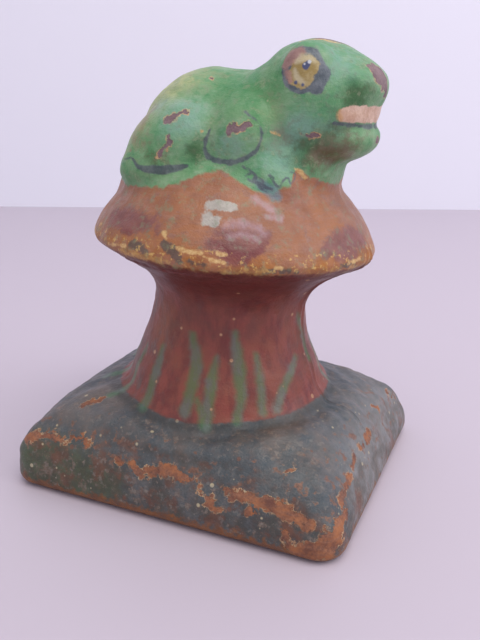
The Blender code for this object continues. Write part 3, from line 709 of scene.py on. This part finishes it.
def place_dabs():
    """Every painted shape as closely spaced points on the skin, each with its radius."""
    rows = []
    painted = [(name, *view) for name, views in DABS.items() for view in views.items()]
    for name, view, strokes in painted:
        for dabs in strokes:
            a, b, radius = np.array(dabs, float).T
            if len(a) > 1:
                knots = range(len(a))
                fine = np.linspace(0, len(a) - 1, STEPS_BETWEEN_DABS * (len(a) - 1) + 1)
                a, b, radius = (along(tuple(zip(knots, row)), fine) for row in (a, b, radius))
            for seen_from in BOTH_SIDES.get(view, (view,)):
                rows.append((name, radius, *sight_lines(seen_from, a, b)))
    places = land(np.concatenate([row[2] for row in rows]), np.concatenate([row[3] for row in rows]))
    ends = np.cumsum([len(row[1]) for row in rows])[:-1]
    placed = {name: [] for name in DABS}
    for row, points in zip(rows, np.split(places, ends)):
        placed[row[0]].append((points, row[1]))
    return placed


def dab_depth(points, rows):
    """How deep inside the dabs each point is, in millimetres; outside it is less than nought."""
    depth = np.full(len(points), -FAR)
    for places, radii in rows:
        reach = radii.max() + FAR
        near = np.all((points > places.min(0) - reach) & (points < places.max(0) + reach), 1)
        away = length(points[near][:, None, :] - places[None, :, :])
        if len(away):
            depth[near] = np.maximum(depth[near], (radii - away).max(1))
    return depth


def region_depths(points, normals):
    """How far each point is inside each region of the figure with a finish or painted shade of its
    own.
    """
    x, y, z = points.T
    angle = np.degrees(np.arctan2(y, x - 1))
    first, height = GREEN_EDGE[0]
    wave = (*GREEN_EDGE, (first + 360, height))
    radius = np.hypot(x - stem_axis(z), y)
    above_rim = in_cap(points)[:, 2]
    turned = np.radians(angle)
    stem_foot = 27.0 + 0.35 * np.sin(3 * turned) + 0.25 * np.sin(7 * turned)
    maroon = (stem_foot - radius) * 0.8 + (z - 22.6) * 0.8
    return {
        "green": (z - along(wave, np.where(angle < first, angle + 360, angle))) * 0.8,
        "orange": above_rim + 0.1,
        "rim": np.minimum(4.2 - above_rim, above_rim + 0.1),
        "rim_edge": np.minimum(1.2 - above_rim, above_rim + 0.3),
        # painted shade: the stem darkens towards the top, under the cap
        "painted_shade_under_cap": (z - 50) * 0.5,
        "maroon": maroon,
        "plinth": -maroon,
        "plinth_side": (0.55 - np.abs(normals[:, 2])) * 6,
        "plinth_edge": np.minimum((0.24 - np.abs(normals[:, 2] - 0.62)) * 9, 18.5 - z),
        "foot": 3.0 - z,
        # painted shade in the crease round the stem's foot
        "painted_shade_at_stem_foot": 1.3 - np.abs(maroon + 1.5),
    }


def tint_amounts(points, blobs, region):
    """Between -0.5 and 0.5, fading out where the region ends."""
    amount = np.zeros(len(points))
    for centre, radius, strength in blobs:
        amount += strength * np.exp(-((length(points - centre) / radius) ** 2))
    return np.clip(amount, 0, 1) * step_up(-0.3, 0.5, region) - 0.5


FINE_PAINT = ("brush_line", "pupil", "pupil_light", "eye_white", "primer_fleck", "chip_purple")
FINE_MARGIN = 0.55


def refine(mesh, dabs):
    """Split the edges near fine painting, so that its outlines stay crisp."""
    points = coordinates(mesh)
    near = np.max([dab_depth(points, dabs[name]) for name in FINE_PAINT], 0) > -FINE_MARGIN
    shape = bmesh.new()
    shape.from_mesh(mesh)
    shape.verts.ensure_lookup_table()
    edges = [e for e in shape.edges if near[e.verts[0].index] or near[e.verts[1].index]]
    bmesh.ops.subdivide_edges(shape, edges=edges, cuts=1, use_grid_fill=True)
    bmesh.ops.triangulate(shape, faces=[f for f in shape.faces if len(f.verts) > 4])
    shape.to_mesh(mesh)
    shape.free()


def store(mesh, name, values):
    mesh.attributes.new(name, "FLOAT", "POINT").data.foreach_set("value", values)


def paint_on(mesh, dabs):
    """Keep every painted shape on the mesh as a depth in millimetres, for the coats to read."""
    points = coordinates(mesh)
    flat = np.empty(len(points) * 3)
    mesh.vertices.foreach_get("normal", flat)
    regions = region_depths(points, flat.reshape(-1, 3))
    for name, values in regions.items():
        store(mesh, name, values)
    for name, rows in dabs.items():
        store(mesh, name, dab_depth(points, rows))
    for name, (region, blobs) in TINTS.items():
        store(mesh, name, tint_amounts(points, blobs, regions[region]))


INSIDE = 0.35  # this far under the skin, the metal was never painted
UNDER_RIM = 1.2  # this far below the cap's rim, the stem's and the plinth's paint takes over


def share_faces(mesh):
    """Give each face the first material on the cap and frog, the second on the stem and plinth,
    and the third in the hollow, the joint and the bores."""
    points = coordinates(mesh)
    depth, above_rim = skin(points), in_cap(points)[:, 2]
    for face in mesh.polygons:
        corners = list(face.vertices)
        if depth[corners].mean() < -INSIDE:
            face.material_index = 2
        else:
            face.material_index = int(above_rim[corners].mean() < -UNDER_RIM)


def finish_half(name, mesh, dabs, materials):
    refine(mesh, dabs)
    points = coordinates(mesh)
    points[:, 2] = np.maximum(points[:, 2], 0)
    set_coordinates(mesh, points)
    paint_on(mesh, dabs)
    mesh.materials.clear()
    for material in materials:
        mesh.materials.append(material)
    share_faces(mesh)
    mesh.shade_smooth()
    mesh.set_sharp_from_angle(angle=SHARP_EDGE)
    mesh.name = name
    return new_object(name, mesh)


# --------------------------------------------------------------------------------------- materials

def linear(hex_colour):
    """sRGB hex to the linear RGBA that a shader's socket takes."""
    channels = (int(hex_colour[i:i + 2], 16) / 255 for i in (1, 3, 5))
    return (*(c / 12.92 if c <= 0.04045 else ((c + 0.055) / 1.055) ** 2.4 for c in channels), 1)


def add(tree, kind, feeds=(), **settings):
    """Add a node with its settings. Each feed is a value, another node's socket, or a node, which
    stands for its first output; a list feeds a socket that takes several."""
    made = tree.nodes.new(kind)
    for name, setting in settings.items():
        setattr(made, name, setting)
    for name, feed in dict(feeds).items():
        for one in feed if isinstance(feed, list) else [feed]:
            if isinstance(one, bpy.types.Node):
                one = one.outputs[0]
            if isinstance(one, bpy.types.NodeSocket):
                tree.links.new(one, made.inputs[name])
            else:
                made.inputs[name].default_value = one
    return made


def new_material(name):
    material = bpy.data.materials.new(name)
    material.use_nodes = True
    material.node_tree.nodes.clear()
    tree = material.node_tree
    return material, tree, add(tree, "ShaderNodeTexCoord").outputs["Object"]


def patterns(tree, place, grains):
    """Noise masks by name. Each has a grain in millimetres, its detail, the noise values between
    which it rises from 0 to 1, and how much it is drawn out along X, Y and Z."""
    made = {}
    for name, (grain, detail, low, high, drawn_out) in grains.items():
        squeeze = tuple(1 / (grain * MM * pull) for pull in drawn_out)
        spot = add(tree, "ShaderNodeMapping", {"Vector": place, "Scale": squeeze})
        noise = add(tree, "ShaderNodeTexNoise",
                    {"Vector": spot, "Scale": 1.0, "Detail": detail, "Roughness": 0.62})
        made[name] = add(tree, "ShaderNodeMapRange",
                         {"Value": noise.outputs["Fac"], "From Min": low, "From Max": high},
                         interpolation_type="SMOOTHSTEP")
    return made


def specks(tree, place, spacing, radius, share):
    """Scattered dots of uneven size, in millimetres, on about this share of the places."""
    cells = add(tree, "ShaderNodeTexVoronoi", {"Vector": place, "Scale": 1000 / spacing})
    chance = add(tree, "ShaderNodeSeparateColor", {0: cells.outputs["Color"]})
    size = add(tree, "ShaderNodeMapRange", {
        "Value": chance, "From Min": 1 - share, "From Max": 1, "To Min": 0,
        "To Max": radius / spacing})
    inside = add(tree, "ShaderNodeMath", {0: size, 1: cells.outputs["Distance"]},
                 operation="SUBTRACT")
    return add(tree, "ShaderNodeMapRange", {"Value": inside, "From Min": -0.02, "From Max": 0.05})


EVEN = (1, 1, 1)
GRAINS = {
    "clouds": (13.0, 3, 0.35, 0.65, EVEN),
    "mottle": (3.2, 5, 0.34, 0.66, EVEN),
    "ragged": (2.1, 6, 0.22, 0.78, EVEN),
    "grit": (0.55, 3, 0.25, 0.75, EVEN),
    "wear": (5.5, 6, 0.36, 0.62, EVEN),
    "stain": (7.5, 6, 0.50, 0.60, EVEN),
    "scuffs": (2.6, 6, 0.55, 0.64, EVEN),
    "crumbs": (1.3, 4, 0.56, 0.64, EVEN),
    "runs": (2.8, 4, 0.38, 0.66, (1, 1, 4)),
    "brushed": (1.0, 3, 0.30, 0.70, (5, 5, 1)),
}
SPECKS = {  # spacing, largest radius, share of the places
    "pale_specks": (2.6, 0.62, 0.26),
    "rust_specks": (3.6, 0.75, 0.25),
    "few_specks": (4.6, 0.55, 0.16),
    "cream_specks": (4.1, 0.34, 0.14),
}

# Each coat in the order it was brushed on, settled or wore through, with painted highlight, sheen and
# shade among them: the painted shape or region it keeps to, how far its outline wanders and how soft
# it is in millimetres, how well it covers, its two tones, the pattern that divides them, and the
# pattern that it is broken up by, if any.
PLINTH_COATS = (
    ("plinth", 0.5, 0.5, 1.00, "#434b4d", "#5f6261", "grit", None),
    ("plinth", 0.5, 0.5, 0.65, "#36464f", "#4d4a45", "clouds", "wear"),
    ("plinth", 0.5, 0.5, 0.35, "#6f6b66", "#363d3e", "grit", "scuffs"),
    ("mossy", 0.4, 0.4, 0.75, "#4b5a33", "#3c4a2e", "mottle", None),
    # painted sheen: lighter grey on the plinth's ends
    ("plinth_end_sheen", 0.3, 0.5, 0.75, "#8d8e8d", "#7c7d7a", "mottle", None),
    ("plinth_side", 1.0, 1.2, 0.60, "#4a3f34", "#3a3c30", "grit", "wear"),
    ("plinth_side", 1.0, 1.0, 0.75, "#724530", "#573a2b", "mottle", "stain"),
    ("dusty", 0.5, 0.60, 0.75, "#82746a", "#635c54", "grit", "clouds"),
    ("plinth", 0.5, 0.5, 0.60, "#8a7766", "#584d45", "grit", "scuffs"),
    ("plinth", 0.5, 0.5, 0.38, "#8c887f", "#6f6a63", "grit", "crumbs"),
    ("plinth", 0.5, 0.5, 0.75, "#7d523c", "#6b4636", "mottle", "rust_specks"),
    ("plinth_edge", 1.6, 0.4, 0.80, "#8a5a40", "#5e4234", "grit", "scuffs"),
    ("plinth", 0.5, 0.5, 0.90, "#c2b48c", "#a09a88", "grit", "pale_specks"),
    ("foot", 3.2, 0.9, 0.92, "#8a5420", "#6c4224", "mottle", None),
)
MAROON_COATS = (
    ("maroon", 0.8, 0.4, 1.00, "#8f4639", "#72302b", "runs", None),
    ("maroon", 1.0, 0.5, 0.50, "#8d523a", "#5f3c36", "clouds", "wear"),
    # painted shade: dark maroon towards the top of the stem, under the cap
    ("painted_shade_under_cap", 2.0, 4.0, 0.80, "#501c1b", "#5e2222", "mottle", None),
)
STEM_COATS = (
    ("brown_streak", 0.4, 0.6, 0.75, "#92583a", "#7c4a34", "runs", None),
    # dust on the stem, and a painted sheen along its left and right edges
    ("stem_dust_and_sheen", 0.6, 0.5, 0.60, "#7d6e66", "#6e6c62", "mottle", "runs"),
    # painted shade in the crease round the stem's foot
    ("painted_shade_at_stem_foot", 1.2, 1.0, 0.55, "#2c3130", "#28302e", "mottle", None),
    ("grass", 0.7, 0.9, 0.68, "#47784a", "#67796c", "runs", None),
    ("maroon", 0.5, 0.5, 0.85, "#b07a58", "#cba680", "grit", "pale_specks"),
)
CAP_AND_FROG_COATS = (
    ("orange", 0.6, 0.20, 1.00, "#a2683f", "#925c3c", "clouds", None),
    ("orange", 0.5, 0.5, 0.50, "#ab7c66", "#855e4e", "mottle", "brushed"),
    ("sooty", 0.4, 0.4, 0.55, "#6e5448", "#7c5a50", "mottle", "wear"),
    ("orange", 0.5, 0.5, 0.40, "#937870", "#74544a", "grit", "scuffs"),
    ("rim", 2.5, 2.0, 0.90, "#a8691f", "#8f5424", "mottle", "wear"),
    ("rosy", 0.6, 0.45, 0.55, "#a0706a", "#8f6058", "mottle", "wear"),
    ("cap_spot", 2.4, 0.9, 0.80, "#6b3d40", "#83504c", "mottle", None),
    ("swirl_red", 1.2, 0.5, 0.75, "#6e2c2e", "#7c3c3a", "mottle", None),
    ("lilac", 1.6, 0.9, 0.62, "#b69aa0", "#a07c80", "mottle", None),
    ("smudge", 1.4, 0.35, 0.90, "#bcb8ac", "#a09c92", "mottle", None),
    ("rim_grey", 1.3, 0.3, 0.85, "#5f5048", "#4c4038", "mottle", None),
    ("rim_edge", 1.6, 0.5, 0.80, "#caa058", "#8e5c2e", "mottle", "stain"),
    ("rim", 0.5, 0.6, 0.70, "#d8b468", "#c29550", "grit", "crumbs"),
    ("orange", 0.5, 0.5, 0.75, "#6a4a44", "#5a4038", "grit", "few_specks"),
    ("orange", 0.5, 0.5, 0.80, "#cbb39c", "#b99a86", "grit", "cream_specks"),
    ("green", 0.9, 0.30, 1.00, "#55935f", "#729b6b", "clouds", None),
    ("green", 0.5, 0.5, 0.65, "#2f7c44", "#92ad8a", "mottle", "brushed"),
    ("deep", 0.6, 0.5, 0.70, "#2f7f3f", "#46884c", "mottle", None),
    # painted highlight: pale yellow-green on the frog's back and upper flanks
    ("yellow_green_highlight", 0.6, 0.5, 0.95, "#b9bd84", "#94a470", "mottle", None),
    ("cooler", 0.6, 0.5, 0.80, "#82ad9c", "#74a08a", "mottle", None),
    ("shaded", 0.6, 0.4, 0.80, "#255222", "#386430", "mottle", None),
    # brown: painted shade under the jaw and throat, and a brown tone on the thigh and elbow
    ("ruddy_and_jaw_shade", 0.8, 0.5, 0.60, "#74503c", "#86665a", "mottle", None),
    ("green", 0.5, 0.5, 0.45, "#a0a684", "#4f7444", "grit", "scuffs"),
    ("green", 0.5, 0.5, 0.60, "#8a5f50", "#93705c", "grit", "few_specks"),
    ("green", 0.5, 0.5, 0.70, "#b4ba98", "#a8ac86", "grit", "cream_specks"),
    ("bluish", 1.0, 0.7, 0.75, "#5f7a85", "#6e8a88", "mottle", None),
    ("mouth", 0.6, 0.20, 1.00, "#dcbda6", "#c09a80", "mottle", None),
    ("mouth_ochre", 0.6, 0.45, 0.80, "#b5834a", "#c49a6c", "mottle", None),
    ("brush_line", 0.55, 0.24, 0.85, "#3f4550", "#626a6e", "mottle", None),
    ("eye_ring", 0.6, 0.25, 0.90, "#434656", "#73767f", "mottle", None),
    ("eye_white", 1.1, 0.25, 1.00, "#a08a50", "#bba978", "mottle", None),
    ("eye_wear", 1.4, 0.45, 0.85, "#b38c80", "#93685e", "mottle", None),
    ("eye_cream", 0.8, 0.50, 0.75, "#d2c8a4", "#bcae84", "mottle", None),
    ("pupil", 0.4, 0.18, 0.92, "#3f4f7a", "#434c62", "mottle", None),
    # painted highlight: a pale glint on each pupil
    ("pupil_light", 0.2, 0.12, 1.00, "#d8dcda", "#b9c4cf", "mottle", None),
    ("primer_fleck", 0.8, 0.25, 0.85, "#dcbc80", "#b98c52", "grit", None),
)
# Chips: the painted shape, how far its outline wanders, the two tones of what shows in it, and the
# two tones of what is smeared over that.
CAP_AND_FROG_CHIP = ("chip_purple", 1.4, "#887375", "#6c5659", "#a08480", "#6b5558")
PLINTH_CHIP = ("chip_rust", 2.6, "#a5683f", "#683f31", "#ad7a5c", "#5c4640")


def where(tree, pattern, name, wander, softness, wider=0.0):
    """A mask that is 1 inside the painted shape, with its outline made uneven."""
    depth = add(tree, "ShaderNodeAttribute", attribute_name=name).outputs["Fac"]
    uneven = add(tree, "ShaderNodeMath", {0: pattern, 1: wander, 2: depth}, operation="MULTIPLY_ADD")
    middle = wander / 2 - wider
    return add(tree, "ShaderNodeMapRange",
               {"Value": uneven, "From Min": middle - softness,
                "From Max": middle + softness}, interpolation_type="SMOOTHSTEP")


def lay(tree, under, masks, cover, one, two, divide):
    """The colour where a coat of two tones is laid over what is under it."""
    amount = cover
    for mask in masks:
        amount = add(tree, "ShaderNodeMath", {0: mask, 1: amount}, operation="MULTIPLY")
    tone = add(tree, "ShaderNodeMix", {0: divide, 6: linear(one), 7: linear(two)}, data_type="RGBA")
    return add(tree, "ShaderNodeMix", {0: amount, 6: under, 7: tone.outputs[2]},
               data_type="RGBA").outputs[2]


def painted_iron(name, coats, chip):
    """Oil paint brushed cold onto rough grey iron, and handled for a century. It gives the eye a
    low satin sheen over brush marks, tones that shift within each colour, and chips with a broken
    pale edge of primer round what shows through."""
    material, tree, place = new_material(name)
    noise = patterns(tree, place, GRAINS)
    for kind, (spacing, radius, share) in SPECKS.items():
        noise[kind] = specks(tree, place, spacing, radius, share)
    colour = linear("#535c57")
    for shape, wander, softness, cover, one, two, pattern, broken_by in coats:
        masks = [where(tree, noise["ragged"], shape, wander, softness)]
        if broken_by:
            masks.append(noise[broken_by])
        colour = lay(tree, colour, masks, cover, one, two, noise[pattern])
    shape, wander, one, two, smear_one, smear_two = chip
    rim = where(tree, noise["ragged"], shape, wander, 0.08, wider=0.34)
    colour = lay(tree, colour, [rim, noise["runs"]], 0.90, "#d6b488", "#b8855c", noise["grit"])
    bare = where(tree, noise["ragged"], shape, wander, 0.10)
    colour = lay(tree, colour, [bare], 1.0, one, two, noise["mottle"])
    colour = lay(tree, colour, [bare, noise["brushed"]], 0.6, smear_one, smear_two, noise["grit"])
    height = add(tree, "ShaderNodeMath", {0: noise["mottle"], 1: 0.6, 2: noise["grit"]},
                 operation="MULTIPLY_ADD")
    height = add(tree, "ShaderNodeMath", {0: noise["brushed"], 1: 0.5, 2: height},
                 operation="MULTIPLY_ADD")
    height = add(tree, "ShaderNodeMath", {0: bare, 1: -2.5, 2: height}, operation="MULTIPLY_ADD")
    relief = add(tree, "ShaderNodeBump", {"Height": height, "Distance": 0.00007, "Strength": 0.8})
    gloss = add(tree, "ShaderNodeMapRange", {"Value": noise["wear"], "To Min": 0.36, "To Max": 0.5})
    rough = add(tree, "ShaderNodeMath", {0: bare, 1: 0.25, 2: gloss}, operation="MULTIPLY_ADD")
    shader = add(tree, "ShaderNodeBsdfPrincipled",
                 {"Base Color": colour, "Roughness": rough, "Normal": relief})
    add(tree, "ShaderNodeOutputMaterial", {"Surface": shader})
    return material


def sand_cast_grey_iron():
    """Iron as it left the sand mould, never painted and dulled by rust. It gives the eye a dark
    brown-grey, matt, pimpled surface."""
    material, tree, place = new_material("sand_cast_grey_iron")
    noise = patterns(tree, place, {
        "bloom": (6.0, 4, 0.3, 0.7, EVEN), "sand": (0.7, 3, 0.25, 0.75, EVEN)})
    colour = add(tree, "ShaderNodeMix", {0: noise["bloom"], 6: linear("#4a4340"),
                 7: linear("#6b4a38")}, data_type="RGBA").outputs[2]
    relief = add(tree, "ShaderNodeBump",
                 {"Height": noise["sand"], "Distance": 0.0002, "Strength": 0.8})
    shader = add(tree, "ShaderNodeBsdfPrincipled", {
        "Base Color": colour, "Roughness": 0.8, "Metallic": 0.3, "Normal": relief})
    add(tree, "ShaderNodeOutputMaterial", {"Surface": shader})
    return material


def browned_steel():
    """Turned mild steel that has browned with age. It gives the eye a dark metal with soft
    highlights and rust freckles."""
    material, tree, place = new_material("browned_steel")
    noise = patterns(tree, place, {
        "freckle": (0.9, 4, 0.35, 0.65, EVEN), "fine": (0.25, 2, 0.2, 0.8, EVEN)})
    colour = add(tree, "ShaderNodeMix", {0: noise["freckle"], 6: linear("#8a7f76"),
                 7: linear("#6b4632")}, data_type="RGBA").outputs[2]
    gloss = add(tree, "ShaderNodeMapRange",
                {"Value": noise["freckle"], "To Min": 0.38, "To Max": 0.7})
    metal = add(tree, "ShaderNodeMapRange",
                {"Value": noise["freckle"], "To Min": 1.0, "To Max": 0.4})
    relief = add(tree, "ShaderNodeBump",
                 {"Height": noise["fine"], "Distance": 0.00003, "Strength": 0.6})
    shader = add(tree, "ShaderNodeBsdfPrincipled", {
        "Base Color": colour, "Roughness": gloss, "Metallic": metal, "Normal": relief})
    add(tree, "ShaderNodeOutputMaterial", {"Surface": shader})
    return material


def plain(name, hex_colour, roughness):
    material, tree, _ = new_material(name)
    shader = add(tree, "ShaderNodeBsdfPrincipled",
                 {"Base Color": linear(hex_colour), "Roughness": roughness})
    add(tree, "ShaderNodeOutputMaterial", {"Surface": shader})
    return material


# ------------------------------------------------------------------------------------------- screws

def slotted_screw(steel):
    """A Geometry Nodes tree for a round-headed screw. Its head stands on the XY plane and its
    threaded shank hangs below."""
    tree = bpy.data.node_groups.new("slotted_screw", "GeometryNodeTree")
    for name in ("Length", *SCREW):
        tree.interface.new_socket(name, in_out="INPUT", socket_type="NodeSocketFloat")
    tree.interface.new_socket("Screw", in_out="OUTPUT", socket_type="NodeSocketGeometry")
    given = add(tree, "NodeGroupInput").outputs
    place = add(tree, "GeometryNodeInputPosition")
    along_axis = add(tree, "ShaderNodeSeparateXYZ", {0: place}).outputs

    # The head: a ball of unit radius, squashed flat below, straight-sided and then domed.
    ball = add(tree, "GeometryNodeMeshUVSphere", {"Segments": 48, "Rings": 24, "Radius": 1.0})
    side = add(tree, "ShaderNodeMapRange",
               {"Value": along_axis[2], "From Min": -0.13, "From Max": 0.0, "To Max": 0.55})
    dome = add(tree, "ShaderNodeMapRange", {"Value": along_axis[2], "To Max": 0.45})
    height = add(tree, "ShaderNodeMath", {0: side, 1: dome}, operation="ADD")
    shape = add(tree, "ShaderNodeCombineXYZ", {0: along_axis[0], 1: along_axis[1], 2: height})
    size = add(tree, "ShaderNodeCombineXYZ", {
        0: given["Head Radius"], 1: given["Head Radius"], 2: given["Head Height"]})
    sized = add(tree, "ShaderNodeVectorMath", {0: shape, 1: size}, operation="MULTIPLY")
    head = add(tree, "GeometryNodeSetPosition",
               {"Geometry": ball.outputs["Mesh"], "Position": sized})

    # The shank: a rod drawn in towards its axis along a helix.
    rod_mesh = add(tree, "GeometryNodeMeshCylinder", {
        "Vertices": 24, "Side Segments": 160, "Radius": given["Shank Radius"],
        "Depth": given["Length"]})
    angle = add(tree, "ShaderNodeMath", {0: along_axis[1], 1: along_axis[0]}, operation="ARCTAN2")
    part_turn = add(tree, "ShaderNodeMath", {0: angle, 1: 2 * math.pi}, operation="DIVIDE")
    climb = add(tree, "ShaderNodeMath", {0: along_axis[2], 1: given["Thread Pitch"]},
                operation="DIVIDE")
    turns = add(tree, "ShaderNodeMath", {0: part_turn, 1: climb}, operation="SUBTRACT")
    ridge = add(tree, "ShaderNodeMath", {0: turns, 1: 0.5}, operation="PINGPONG")
    deep = add(tree, "ShaderNodeMath", {0: ridge, 1: given["Thread Depth"]}, operation="MULTIPLY")
    inward = add(tree, "ShaderNodeMath", {0: deep, 1: given["Shank Radius"]}, operation="DIVIDE")
    drawn = add(tree, "ShaderNodeMath", {0: inward, 1: -2.0}, operation="MULTIPLY")
    level = add(tree, "ShaderNodeVectorMath", {0: place, 1: (1, 1, 0)}, operation="MULTIPLY")
    shift = add(tree, "ShaderNodeVectorMath", {0: level, "Scale": drawn}, operation="SCALE")
    thread = add(tree, "GeometryNodeSetPosition",
                 {"Geometry": rod_mesh.outputs["Mesh"], "Offset": shift})
    down = add(tree, "ShaderNodeMath", {0: given["Length"], 1: SUNK - 0.5}, operation="MULTIPLY")
    hang = add(tree, "ShaderNodeCombineXYZ", {2: down})
    shank = add(tree, "GeometryNodeTransform", {"Geometry": thread, "Translation": hang})

    # The screwdriver slot.
    long = add(tree, "ShaderNodeMath", {0: given["Head Radius"], 1: 2.5}, operation="MULTIPLY")
    tall = add(tree, "ShaderNodeMath", {0: given["Slot Depth"], 1: 2.0}, operation="MULTIPLY")
    slot_size = add(tree, "ShaderNodeCombineXYZ", {0: given["Slot Width"], 1: long, 2: tall})
    blade = add(tree, "GeometryNodeMeshCube", {"Size": slot_size})
    top = add(tree, "ShaderNodeCombineXYZ", {2: given["Head Height"]})
    slot = add(tree, "GeometryNodeTransform",
               {"Geometry": blade.outputs["Mesh"], "Translation": top})

    whole = add(tree, "GeometryNodeMeshBoolean", {"Mesh 2": [head, shank]},
                operation="UNION", solver="MANIFOLD")
    slotted = add(tree, "GeometryNodeMeshBoolean",
                  {"Mesh 1": whole, "Mesh 2": slot},
                  operation="DIFFERENCE", solver="MANIFOLD")
    facets = add(tree, "GeometryNodeTriangulate", {"Mesh": slotted})
    merged = add(tree, "GeometryNodeMergeByDistance",
                 {"Geometry": facets, "Distance": SHORTEST_EDGE * MM})
    real = add(tree, "GeometryNodeRealizeInstances", {"Geometry": merged})
    coated = add(tree, "GeometryNodeSetMaterial", {"Geometry": real, "Material": steel})
    add(tree, "NodeGroupOutput", {"Screw": coated})
    return tree


def make_screw(name, tree):
    """One screw, turned to lie along Y in its place with its head on the frog's left."""
    place = SCREWS[name]
    seat, tip = place["seat"] + UNDER_HEAD, place["bore_end"] + SHORT_OF_BORE_END
    lengths = {"Length": (seat - tip) / (1 - SUNK), **SCREW}
    thing = new_object(name, bpy.data.meshes.new(name))
    modifier = thing.modifiers.new("screw", "NODES")
    modifier.node_group = tree
    for socket in tree.interface.items_tree:
        if socket.in_out == "INPUT":
            modifier[socket.identifier] = lengths[socket.name] * MM
    mesh = evaluated(thing)
    lie_down = Matrix.Rotation(-math.pi / 2, 4, "X")
    mesh.transform(Matrix.Translation(Vector((place["x"], seat, place["z"])) * MM) @ lie_down)
    mesh.shade_smooth()
    mesh.set_sharp_from_angle(angle=SCREW_SHARP_EDGE)
    screw = new_object(name + "_slotted", mesh)
    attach(screw, "root")
    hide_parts(name)


# ------------------------------------------------------------------------------------------- studio

LOOK_WAY = Vector((-0.397, 0.918, 0)).normalized()
LOOK_DOWN = math.radians(19.4)
CAMERA_PLACE = Vector((74.3, -161.9, 101.5)) * MM
CAMERA_ROLL = math.radians(0.42)
LENS = 40.33
BACKDROP_AWAY = 0.546  # from the camera, along the ground


def sheet(name, corners, material):
    shape = bmesh.new()
    shape.faces.new([shape.verts.new(corner) for corner in corners])
    mesh = mesh_of(shape, name)
    mesh.materials.append(material)
    thing = new_object(name, mesh)
    return thing


def make_camera():
    forward = LOOK_WAY * math.cos(LOOK_DOWN) - Vector((0, 0, math.sin(LOOK_DOWN)))
    right = LOOK_WAY.cross(Vector((0, 0, 1)))
    up = right.cross(forward)
    axes = Matrix((right, up, -forward)).transposed()
    camera = bpy.data.objects.new("camera", bpy.data.cameras.new("camera"))
    camera.data.lens = LENS
    camera.data.clip_start = 0.01
    roll = Matrix.Rotation(CAMERA_ROLL, 3, "Z")
    camera.matrix_world = Matrix.Translation(CAMERA_PLACE) @ (axes @ roll).to_4x4()
    PART.objects.link(camera)
    bpy.context.scene.camera = camera


def make_light(name, place, aim, size, watts, hex_colour):
    light = bpy.data.lights.new(name, "AREA")
    light.shape = "DISK"
    light.size = size
    light.energy = watts
    light.color = linear(hex_colour)[:3]
    thing = bpy.data.objects.new(name, light)
    thing.location = place
    thing.rotation_euler = (Vector(aim) - Vector(place)).to_track_quat("-Z", "Y").to_euler()
    PART.objects.link(thing)


def make_studio():
    floor = plain("pale_laminate", "#c8bec8", 0.5)
    wall = plain("matt_wall_paint", "#efeef7", 0.9)
    across = LOOK_WAY.cross(Vector((0, 0, 1))) * 2.0
    foot = Vector((CAMERA_PLACE.x, CAMERA_PLACE.y, 0)) + LOOK_WAY * BACKDROP_AWAY
    near = foot - LOOK_WAY * 3.0
    low = Vector((0, 0, -0.0001))
    sheet("floor", (near - across + low, near + across + low, foot + across + low,
                    foot - across + low), floor)
    high = Vector((0, 0, 1.4))
    sheet("backdrop", (foot - across, foot + across, foot + across + high,
                       foot - across + high), wall)
    world = bpy.data.worlds.new("studio")
    world.use_nodes = True
    background = world.node_tree.nodes["Background"]
    background.inputs["Color"].default_value = linear("#eeecfa")
    background.inputs["Strength"].default_value = 0.75
    bpy.context.scene.world = world
    middle = (0, 0, 0.06)
    make_light("overhead", (0.25, -0.2, 0.9), middle, 0.8, 4.0, "#fffaf4")
    make_light("right_window", (0.8, 0.1, 0.5), middle, 0.6, 2.5, "#f4f6ff")
    bpy.context.scene.view_settings.view_transform = "Standard"


# --------------------------------------------------------------------------------------- the figure

def main():
    materials = (
        painted_iron("cold_painted_iron_green_and_orange", MAROON_COATS + CAP_AND_FROG_COATS,
                     CAP_AND_FROG_CHIP),
        painted_iron("cold_painted_iron_maroon_and_slate", PLINTH_COATS + MAROON_COATS + STEM_COATS,
                     PLINTH_CHIP),
        sand_cast_grey_iron(),
    )
    dabs = place_dabs()
    for name, mesh in make_halves().items():
        side = name.split("_")[0]
        half = finish_half(name, mesh, dabs, materials)
        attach(half, "root")
        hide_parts(side + "_half_casting")
    tree = slotted_screw(browned_steel())
    for name in SCREWS:
        make_screw(name, tree)
    make_studio()
    make_camera()


main()
